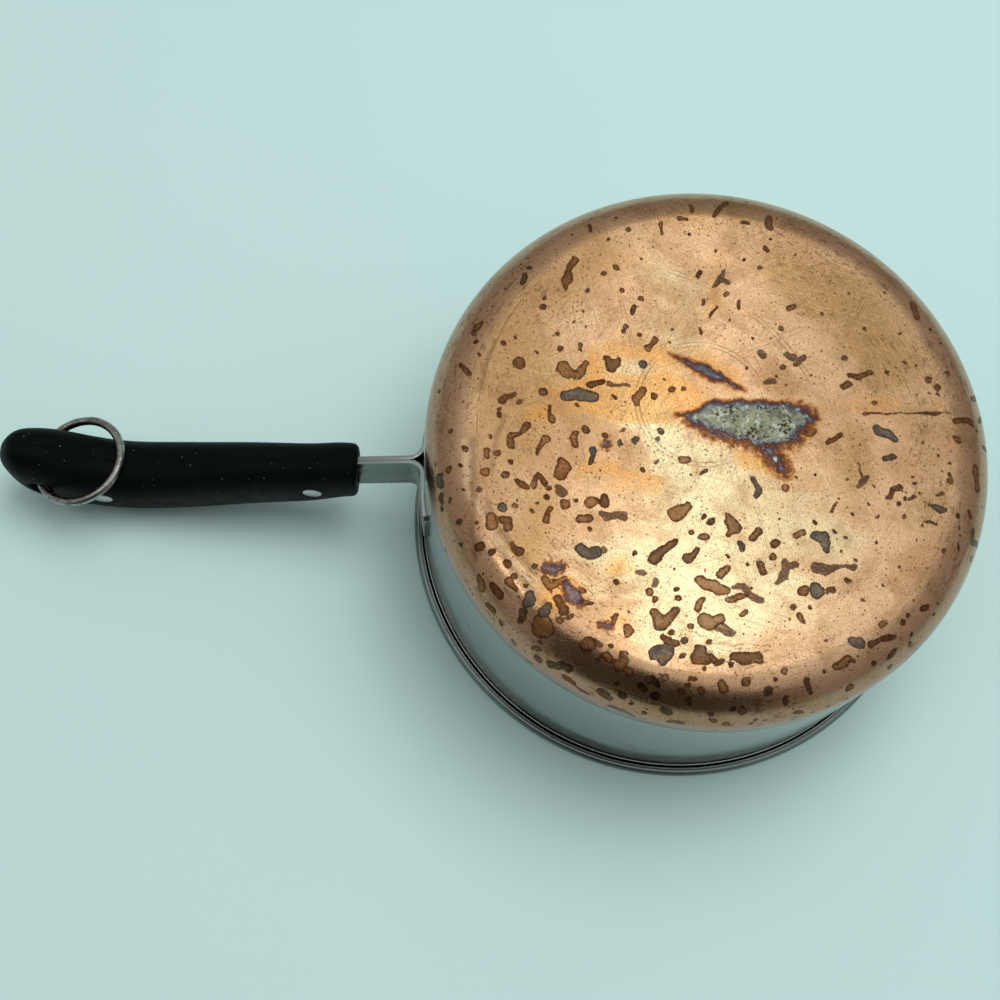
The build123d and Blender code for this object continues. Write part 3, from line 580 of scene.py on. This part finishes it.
def colour_scale(tree, value, stops):
    """Turn a value into a colour along named stops."""
    node = place_node(tree, "ShaderNodeValToRGB", {0: value})
    marks = node.color_ramp.elements
    while len(marks) < len(stops):
        marks.new(0.5)
    for mark, (position, colour) in zip(marks, stops):
        mark.position = position
        mark.color = (*colour, 1)
    return node.outputs["Color"]


def hairlines(tree, turn, spacing, width):
    """Give thin nearly straight lines, lying at an angle and some millimetres apart."""
    grain = cloud(tree, millimetres(tree, (0.03 / spacing, 1 / spacing, 0.2), turn), 1.0, detail=2)
    return rise(tree, sums(tree, "ABSOLUTE", sums(tree, "SUBTRACT", grain, 0.5)), width, width * 0.3)


def painted(tree, name):
    """Read one of the piece's own painted values."""
    return place_node(tree, "ShaderNodeAttribute", {}, attribute_name=name).outputs["Fac"]


copper, tree, shader = start_material("copper")
spot = millimetres(tree)
spot_parts = place_node(tree, "ShaderNodeSeparateXYZ", {"Vector": spot}).outputs
lumpy = cloud(tree, spot, 0.22, detail=2)
ragged = cloud(tree, spot, 0.9, detail=4)
fine = cloud(tree, spot, 2.6, detail=4)
broad = cloud(tree, spot, 0.03, detail=6, distortion=0.8)
streaks = cloud(tree, millimetres(tree, (0.35, 1, 1), 8), 0.08, detail=6, distortion=0.6)
from_axis = away_from_axis(tree, spot)


def scaled(value, size, middle=0.5):
    """Swing a value to both sides of zero by a size."""
    return times(tree, sums(tree, "SUBTRACT", value, middle), size)


def soft_area(name, wander, inner, outer, most=1):
    """Give how far a place lies in a soft-edged painted area."""
    drift = plus(tree, scaled(broad, wander), scaled(streaks, wander))
    return rise(tree, plus(tree, painted(tree, name), drift), outer, inner, 0, most)


# Clean copper, rubbed paler in the middle where a painted highlight also lies, browner in patches, and darker
# towards the shoulder and low on the wall, partly heat tarnish and partly painted shade
tarnish = rise(tree, plus(tree, scaled(broad, 0.7), scaled(streaks, 0.6)), -0.12, 0.14)
body = blend(tree, tarnish, (0.70, 0.455, 0.255, 1), (0.53, 0.315, 0.155, 1))
body = blend(tree, soft_area("brown", 34, -6, 10, 0.8), body, (0.45, 0.26, 0.095, 1))
# Paler, yellower copper where rubbed, with the painted highlight of the lamps overhead laid in the same area
body = blend(tree, soft_area("bright", 40, -8, 12, 0.8), body, (0.64, 0.56, 0.325, 1))
# Darker and browner towards the shoulder: partly heat tarnish, partly painted shade for the darker room it
# mirrors
shoulder_tarnish_and_shade = rise(tree, plus(tree, from_axis, scaled(broad, 14)), 76, 94)
body = blend(tree, shoulder_tarnish_and_shade, body, (0.52, 0.295, 0.175, 1))
# Darker and redder low on the wall: partly heat tarnish, partly painted shade
low_on_wall = rise(tree, spot_parts["Z"], 98, 86, 0, 0.85)
body = blend(tree, low_on_wall, body, (0.43, 0.185, 0.13, 1))

# Over an old dent in the left shoulder: a painted highlight along its ridge beside a painted shade along its
# crease
body = blend(tree, rise(tree, painted(tree, "ridge_highlight"), 0.5, -0.7, 0, 0.5), body, (0.80, 0.60, 0.36, 1))
body = blend(tree, rise(tree, painted(tree, "crease_shade"), 1.0, -0.6, 0, 0.55), body, (0.20, 0.11, 0.055, 1))

# Orange haze round the burnt patch and in a few smears
haze = soft_area("haze", 26, -2.5, 4.0, 0.72)
body = blend(tree, haze, body, (0.60, 0.285, 0.065, 1))

# Handling stains: faint brown clouds with soft edges
clouds = rise(tree, cloud(tree, spot, 0.07, detail=8, distortion=0.5), 0.50, 0.68, 0, 0.55)
body = blend(tree, clouds, body, (0.36, 0.195, 0.08, 1))


def mark_depth(name, swell, wander, fineness):
    """Give the distance to a kind of mark, less inside it, with its edge made ragged."""
    drift = plus(tree, scaled(lumpy, swell), scaled(ragged, wander))
    return plus(tree, painted(tree, name), plus(tree, drift, scaled(fine, fineness)))


mottle = cloud(tree, spot, 1.1, detail=3)


def dried_film(body, depth, tone, strength):
    """Lay a dried water mark over the body: a mottled brown film, darkest along its uneven rim."""
    film = rise(tree, depth, 0.16, -0.16)
    uneven = plus(tree, tone, plus(tree, scaled(mottle, 1.6), scaled(lumpy, 1.4)))
    film_colour = blend(tree, rise(tree, uneven, 0.0, 0.9), (0.085, 0.024, 0.006, 1), (0.27, 0.094, 0.019, 1))
    to_rim = rise(tree, depth, -1.8, -0.2, 0.85, 1)
    thickness = rise(tree, uneven, 0.2, 1.0, strength, strength * 0.86)
    cover = times(tree, times(tree, film, to_rim), thickness)
    filmed = blend(tree, cover, body, film_colour)
    rim_width = plus(tree, times(tree, mottle, 0.9), -1.05)
    rim_here = rise(tree, sums(tree, "SUBTRACT", depth, rim_width), -0.3, 0.35, 0, strength * 0.9)
    return blend(tree, times(tree, film, rim_here), filmed, (0.07, 0.022, 0.007, 1)), film


# Droplets scattered everywhere, thicker on the shoulder and along the near side
warp = place_node(tree, "ShaderNodeTexNoise", {"Vector": spot, "Scale": 0.35, "Detail": 2}).outputs["Color"]
warped = vectors(tree, "MULTIPLY_ADD", warp, (1.6, 1.6, 1.6), spot)[0]
near_side = rise(tree, spot_parts["Y"], 40, -70)
edge_side = rise(tree, from_axis, 76, 86)
patchy = rise(tree, cloud(tree, spot, 0.04, detail=2), 0.35, 0.65)
# Each layer: drops per millimetre, least size, spread of sizes, then share everywhere, nearer and at the edge
drop_layers = ((0.17, 0.08, 0.15, 0.05, 0.04, 0.16), (0.40, 0.06, 0.16, 0.10, 0.10, 0.20))
drop_films = []
for density, least, spread, common, nearer, edges in drop_layers:
    drops = place_node(tree, "ShaderNodeTexVoronoi", {"Vector": warped, "Scale": density, "Randomness": 1.0})
    lots = place_node(tree, "ShaderNodeSeparateColor", {0: drops.outputs["Color"]}).outputs
    crowd = times(tree, patchy, common)
    crowd = plus(tree, crowd, times(tree, near_side, nearer))
    crowd = plus(tree, crowd, times(tree, edge_side, edges))
    wet = rise(tree, sums(tree, "SUBTRACT", lots["Red"], crowd), 0.02, -0.02)
    swell = times(tree, sums(tree, "POWER", lots["Green"], 2.0), spread)
    drop_size = plus(tree, swell, least)
    drop_gap = sums(tree, "DIVIDE", sums(tree, "SUBTRACT", drops.outputs["Distance"], drop_size), density)
    dry = times(tree, sums(tree, "SUBTRACT", 1, wet), 9)
    drop_depth = plus(tree, plus(tree, drop_gap, scaled(ragged, 0.7)), dry)
    body, drop_film = dried_film(body, drop_depth, lots["Blue"], 0.9)
    drop_films.append(drop_film)

# The larger water marks
water = mark_depth("water", 1.0, 0.8, 0.4)
body, water_film = dried_film(body, water, painted(tree, "water_tone"), 0.97)

# Marks burnt nearly black
dark = mark_depth("dark", 1.0, 0.8, 0.4)
dark_film = rise(tree, dark, 0.18, -0.18)
dark_tone = blend(tree, rise(tree, mottle, 0.4, 0.65), (0.030, 0.012, 0.007, 1), (0.11, 0.045, 0.022, 1))
body = blend(tree, times(tree, dark_film, 0.93), body, dark_tone)

# Slate-grey scale, browner in places
slate = mark_depth("slate", 1.3, 0.9, 0.4)
scale_cover = rise(tree, slate, 0.15, -0.15)
scale_tone = colour_scale(tree, plus(tree, plus(tree, scaled(lumpy, 2.4), scaled(mottle, 1.2)), 0.5), [
    (0.0, (0.035, 0.032, 0.040)), (0.4, (0.085, 0.082, 0.075)), (0.7, (0.135, 0.115, 0.085)),
    (1.0, (0.17, 0.085, 0.035)),
])
body = blend(tree, times(tree, scale_cover, 0.95), body, scale_tone)
slate_rim = times(tree, scale_cover, rise(tree, plus(tree, slate, scaled(lumpy, 1.6)), -1.1, -0.2))
body = blend(tree, times(tree, slate_rim, 0.85), body, (0.045, 0.020, 0.012, 1))

# Purple scorching with an orange-brown rim
purple = mark_depth("purple", 3.0, 3.6, 1.2)
scorch = colour_scale(tree, ramp(tree, purple, 2.0, -2.6), [
    (0.0, (0.56, 0.32, 0.12)), (0.30, (0.34, 0.14, 0.04)), (0.42, (0.11, 0.038, 0.018)),
    (0.54, (0.065, 0.028, 0.030)), (0.66, (0.10, 0.055, 0.07)), (0.80, (0.14, 0.12, 0.12)),
    (1.0, (0.12, 0.062, 0.045)),
])
body = blend(tree, rise(tree, purple, 1.3, 0.3), body, scorch)

# Burnt patch: silver-green scale in the middle, then blue, purple, dark red and orange, widest below
lower_side = rise(tree, spot_parts["Y"], 11, 0)
right_side = rise(tree, spot_parts["X"], 20, 32)
spreading = sums(tree, "MAXIMUM", lower_side, right_side)
rough_edge = plus(tree, scaled(cloud(tree, spot, 0.55, detail=6, distortion=0.5), 7.0), scaled(fine, 1.6))
burnt = plus(tree, painted(tree, "burnt"), times(tree, rough_edge, rise(tree, spreading, 0, 1, 0.3, 1.05)))
outward = times(tree, sums(tree, "MAXIMUM", burnt, 0), rise(tree, spreading, 0, 1, 1.5, 0.62))
burnt = plus(tree, sums(tree, "MINIMUM", burnt, 0), outward)
heat = colour_scale(tree, ramp(tree, burnt, 3.4, -3.4), [
    (0.0, (0.58, 0.34, 0.12)), (0.18, (0.44, 0.17, 0.035)), (0.34, (0.15, 0.045, 0.012)),
    (0.44, (0.085, 0.025, 0.018)), (0.51, (0.055, 0.026, 0.045)), (0.60, (0.075, 0.075, 0.11)),
    (0.72, (0.16, 0.20, 0.205)), (0.88, (0.28, 0.325, 0.25)), (1.0, (0.31, 0.335, 0.215)),
])
core = rise(tree, burnt, -0.3, -1.8)
silvery = rise(tree, cloud(tree, spot, 0.35, detail=6, distortion=1.2), 0.50, 0.62, 0, 0.9)
heat = blend(tree, times(tree, silvery, core), heat, (0.52, 0.59, 0.50, 1))
blotches = rise(tree, cloud(tree, spot, 0.3, detail=7, distortion=0.6), 0.48, 0.60, 0, 0.8)
heat = blend(tree, times(tree, blotches, core), heat, (0.13, 0.145, 0.115, 1))
crust_places = plus(tree, cloud(tree, spot, 0.85, detail=5), scaled(cloud(tree, spot, 0.12, detail=1), 0.5))
crusted = times(tree, rise(tree, crust_places, 0.56, 0.64, 0, 0.95), core)
heat = blend(tree, crusted, heat, (0.018, 0.02, 0.018, 1))
body = blend(tree, rise(tree, burnt, 3.3, 1.0), body, heat)

# Pitting: fine dark specks of two sizes, thick in some places and missing in others
crowding = rise(tree, cloud(tree, spot, 0.06, detail=5), 0.38, 0.62, 0.06, 0.5)
specks = []
for density, wide in ((0.62, 0.30), (1.2, 0.38)):
    pits = place_node(tree, "ShaderNodeTexVoronoi", {"Vector": spot, "Scale": density, "Randomness": 1.0})
    pit_lot = place_node(tree, "ShaderNodeSeparateColor", {0: pits.outputs["Color"]}).outputs["Red"]
    pit_here = rise(tree, sums(tree, "SUBTRACT", pit_lot, crowding), 0.02, -0.02)
    specks.append(times(tree, pit_here, rise(tree, pits.outputs["Distance"], wide, wide * 0.4)))
pitted = sums(tree, "MAXIMUM", specks[0], times(tree, specks[1], 0.7))
body = blend(tree, times(tree, pitted, 0.85), body, (0.12, 0.05, 0.018, 1))


def ring_line(middle, radius, width):
    """Give a thin plain circle on the base."""
    reach = vectors(tree, "DISTANCE", spot, (*middle, 1000 * top))["Value"]
    return rise(tree, sums(tree, "ABSOLUTE", sums(tree, "SUBTRACT", reach, radius)), width, width * 0.3)


# Plain turning rings round the middle and a long wide arc beyond them, worn away in places
rings_middle, arc_middle = (-4.6, 10), (-36, -17.2)
turned = sums(tree, "MAXIMUM", ring_line(rings_middle, 21.2, 0.3), ring_line(rings_middle, 22.7, 0.26))
far_arc = sums(tree, "MAXIMUM", ring_line(arc_middle, 78.2, 0.3), ring_line(arc_middle, 79.7, 0.22))
arc_part = times(tree, rise(tree, spot_parts["X"], -26, -12), rise(tree, spot_parts["Y"], 8, 16))
turned = sums(tree, "MAXIMUM", turned, times(tree, far_arc, arc_part))
# Painted shade: a dark line on the left where the flat base turns into the shoulder
corner_shade_line = times(tree, ring_line((2, 0), 82.2, 0.35), rise(tree, spot_parts["X"], -52, -64))
turned = sums(tree, "MAXIMUM", turned, corner_shade_line)
worn = rise(tree, cloud(tree, spot, 0.09, detail=2), 0.36, 0.58, 0.15, 1)
turned = times(tree, turned, worn)
body = blend(tree, times(tree, turned, 0.6), body, (0.20, 0.10, 0.04, 1))

# Scouring scratches in several directions, some bright and some dark, over a fine short grain
bright_lines = sums(tree, "MAXIMUM", hairlines(tree, 14, 1.5, 0.010), hairlines(tree, 62, 2.1, 0.009))
dark_lines = sums(tree, "MAXIMUM", hairlines(tree, 76, 3.6, 0.008), hairlines(tree, 155, 4.2, 0.007))
dark_lines = sums(tree, "MAXIMUM", dark_lines, hairlines(tree, 118, 2.8, 0.008))
scoured = rise(tree, cloud(tree, spot, 0.045, detail=3), 0.40, 0.62, 0.2, 1)
body = blend(tree, times(tree, times(tree, bright_lines, scoured), 0.22), body, (0.85, 0.68, 0.45, 1))
body = blend(tree, times(tree, times(tree, dark_lines, scoured), 0.38), body, (0.16, 0.08, 0.03, 1))
grain = plus(tree, cloud(tree, spot, 1.3, detail=5), scaled(fine, 0.8))
body = blend(tree, rise(tree, grain, 0.52, 0.80, 0, 0.34), body, (0.24, 0.125, 0.05, 1))
body = blend(tree, rise(tree, grain, 0.42, 0.18, 0, 0.18), body, (0.88, 0.70, 0.46, 1))

# Dashes left by scouring round and round, in broken rows near the shoulder
angle = times(tree, sums(tree, "ARCTAN2", spot_parts["Y"], spot_parts["X"]), 16)
across_rows = times(tree, from_axis, 0.9)
round_place = place_node(tree, "ShaderNodeCombineXYZ", {"X": across_rows, "Y": angle}).outputs[0]
rows = cloud(tree, round_place, 1.0, detail=5)
row_patches = rise(tree, cloud(tree, spot, 0.035, detail=2), 0.42, 0.62)
row_places = times(tree, rise(tree, from_axis, 45, 72), row_patches)
dashes = times(tree, rise(tree, plus(tree, rows, scaled(fine, 0.35)), 0.56, 0.64), row_places)
body = blend(tree, times(tree, dashes, 0.6), body, (0.15, 0.07, 0.03, 1))
tree.links.new(body, shader.inputs["Base Color"])
shader.inputs["Metallic"].default_value = 1
matt = sums(tree, "MAXIMUM", sums(tree, "MAXIMUM", water_film, scale_cover), rise(tree, burnt, 1.0, -1.0))
matt = sums(tree, "MAXIMUM", matt, sums(tree, "MAXIMUM", *drop_films))
shine = plus(tree, rise(tree, broad, 0.3, 0.7, 0.20, 0.28), times(tree, matt, 0.16))
shine = sums(tree, "SUBTRACT", shine, rise(tree, from_axis, 78, 88, 0, 0.04))
tree.links.new(shine, shader.inputs["Roughness"])
dents = times(tree, broad, 12)
relief = plus(tree, dents, times(tree, fine, 0.35))
cut = plus(tree, plus(tree, turned, pitted), sums(tree, "MAXIMUM", bright_lines, dark_lines))
relief = sums(tree, "SUBTRACT", relief, times(tree, cut, 0.7))
roughen(tree, shader, relief, 0.00001)
copper_skin.data.materials.append(copper)
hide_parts("copper_base")
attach(copper_skin, "pan")


# Straps
# Two stainless strips back to back, bent apart against the wall and spot-welded to it. Their sheared
# edges are lightly rounded and the faces keep the rolled grain.
def rounded_copy(node_name, name, radius):
    """Copy a CAD piece, join its loose triangles and round its sharp edges a little."""
    bpy.ops.object.select_all(action="DESELECT")
    source = bpy.data.objects[node_name]
    piece = source.copy()
    piece.data = source.data.copy()
    piece.name = name
    piece.data.name = name
    piece.data.materials.clear()
    bpy.context.collection.objects.link(piece)
    piece.hide_render = False
    piece.select_set(True)
    bpy.context.view_layer.objects.active = piece
    bpy.ops.object.mode_set(mode="EDIT")
    bpy.ops.mesh.select_all(action="SELECT")
    bpy.ops.mesh.remove_doubles(threshold=0.000002)
    bpy.ops.mesh.dissolve_limited(angle_limit=math.radians(0.5))
    bpy.ops.object.mode_set(mode="OBJECT")
    bevel = piece.modifiers.new("rounded_edges", "BEVEL")
    bevel.width = radius
    bevel.segments = 2
    bevel.limit_method = "ANGLE"
    bevel.angle_limit = math.radians(35)
    bpy.ops.object.modifier_apply(modifier=bevel.name)
    bpy.ops.object.shade_smooth_by_angle(angle=math.radians(50))
    return piece


strap_steel, tree, shader = start_material("strap_steel")
rolled = cloud(tree, millimetres(tree, (0.12, 1, 3)), 1.4, detail=4)
worn = cloud(tree, millimetres(tree), 0.16, detail=4)
strap_tone = blend(tree, worn, (0.15, 0.17, 0.155, 1), (0.24, 0.265, 0.245, 1))
normal = tree.nodes.new("ShaderNodeNewGeometry").outputs["Normal"]
painted_top_light = place_node(tree, "ShaderNodeSeparateXYZ", {"Vector": normal}).outputs["Z"]
# Painted highlight: faces turned upwards are painted lighter, as if lit by the lamp overhead
strap_tone = blend(tree, rise(tree, painted_top_light, 0.35, 0.8), strap_tone, (0.33, 0.385, 0.36, 1))
tree.links.new(strap_tone, shader.inputs["Base Color"])
shader.inputs["Metallic"].default_value = 1
tree.links.new(rise(tree, worn, 0.3, 0.7, 0.2, 0.34), shader.inputs["Roughness"])
roughen(tree, shader, rolled, 0.00001)
for side in ("near", "far"):
    strap = rounded_copy(side + "_bracket", side + "_strap", 0.0002)
    strap.data.materials.append(strap_steel)
    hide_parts(side + "_bracket")
    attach(strap, "pan")


# Handle
# Two halves of black moulded phenolic, hollowed for the tang and riveted together. The surface is matt,
# with mould flow marks, a fine grain and a little dust.
black_plastic, tree, shader = start_material("black_plastic")
spot = millimetres(tree)
mottle = cloud(tree, spot, 0.12, detail=5)
plastic_tone = blend(tree, mottle, (0.0012, 0.0022, 0.0021, 1), (0.0032, 0.0048, 0.0046, 1))
specks = place_node(tree, "ShaderNodeTexVoronoi", {"Vector": spot, "Scale": 0.6, "Randomness": 1.0})
speck_lot = place_node(tree, "ShaderNodeSeparateColor", {0: specks.outputs["Color"]}).outputs["Green"]
speck_edge = rise(tree, speck_lot, 0.72, 1.0, 0, 0.16)
dust = rise(tree, sums(tree, "SUBTRACT", specks.outputs["Distance"], speck_edge), 0.03, -0.03)
plastic_tone = blend(tree, times(tree, dust, 0.7), plastic_tone, (0.13, 0.155, 0.15, 1))
tree.links.new(plastic_tone, shader.inputs["Base Color"])
tree.links.new(rise(tree, mottle, 0.3, 0.7, 0.42, 0.55), shader.inputs["Roughness"])
shader.inputs["Specular IOR Level"].default_value = 0.05
plastic_grain = plus(tree, cloud(tree, spot, 3.0, detail=3), dust)
roughen(tree, shader, plastic_grain, 0.00002)
for side in ("near", "far"):
    half = rounded_copy(side + "_grip", side + "_handle_half", 0.00025)
    half.data.materials.append(black_plastic)
    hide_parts(side + "_grip")
    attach(half, "pan")


# Rivets
# Two aluminium rivets with flush, slightly domed heads, set a hair below the plastic.
rivet_metal, tree, shader = start_material("rivet_metal")
spot = millimetres(tree)
rubbed = cloud(tree, spot, 1.1, detail=5)
rivet_tone = blend(tree, rubbed, (0.46, 0.475, 0.46, 1), (0.62, 0.63, 0.61, 1))
tree.links.new(rivet_tone, shader.inputs["Base Color"])
shader.inputs["Metallic"].default_value = 1
tree.links.new(rise(tree, rubbed, 0.3, 0.7, 0.3, 0.45), shader.inputs["Roughness"])
roughen(tree, shader, rubbed, 0.00002)
for place in ("front", "rear"):
    rivet = rounded_copy(place + "_rivet", place + "_rivet_pin", 0.00035)
    rivet.data.materials.append(rivet_metal)
    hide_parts(place + "_rivet")
    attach(rivet, "pan")


# Hanging ring
# Round steel wire bent to a ring and nickel plated; the plating has dulled and worn through in places.
ring_nickel, tree, shader = start_material("ring_nickel")
spot = millimetres(tree)
worn_through = rise(tree, cloud(tree, spot, 0.35, detail=5, distortion=0.8), 0.46, 0.62)
nickel_tone = blend(tree, worn_through, (0.36, 0.36, 0.33, 1), (0.20, 0.195, 0.17, 1))
tree.links.new(nickel_tone, shader.inputs["Base Color"])
shader.inputs["Metallic"].default_value = 1
tree.links.new(rise(tree, worn_through, 0, 1, 0.2, 0.42), shader.inputs["Roughness"])
roughen(tree, shader, cloud(tree, spot, 2.2, detail=4), 0.00003)
hanging_ring = bpy.data.objects["hanging_ring"]
hanging_ring.data.materials.clear()
hanging_ring.data.materials.append(ring_nickel)
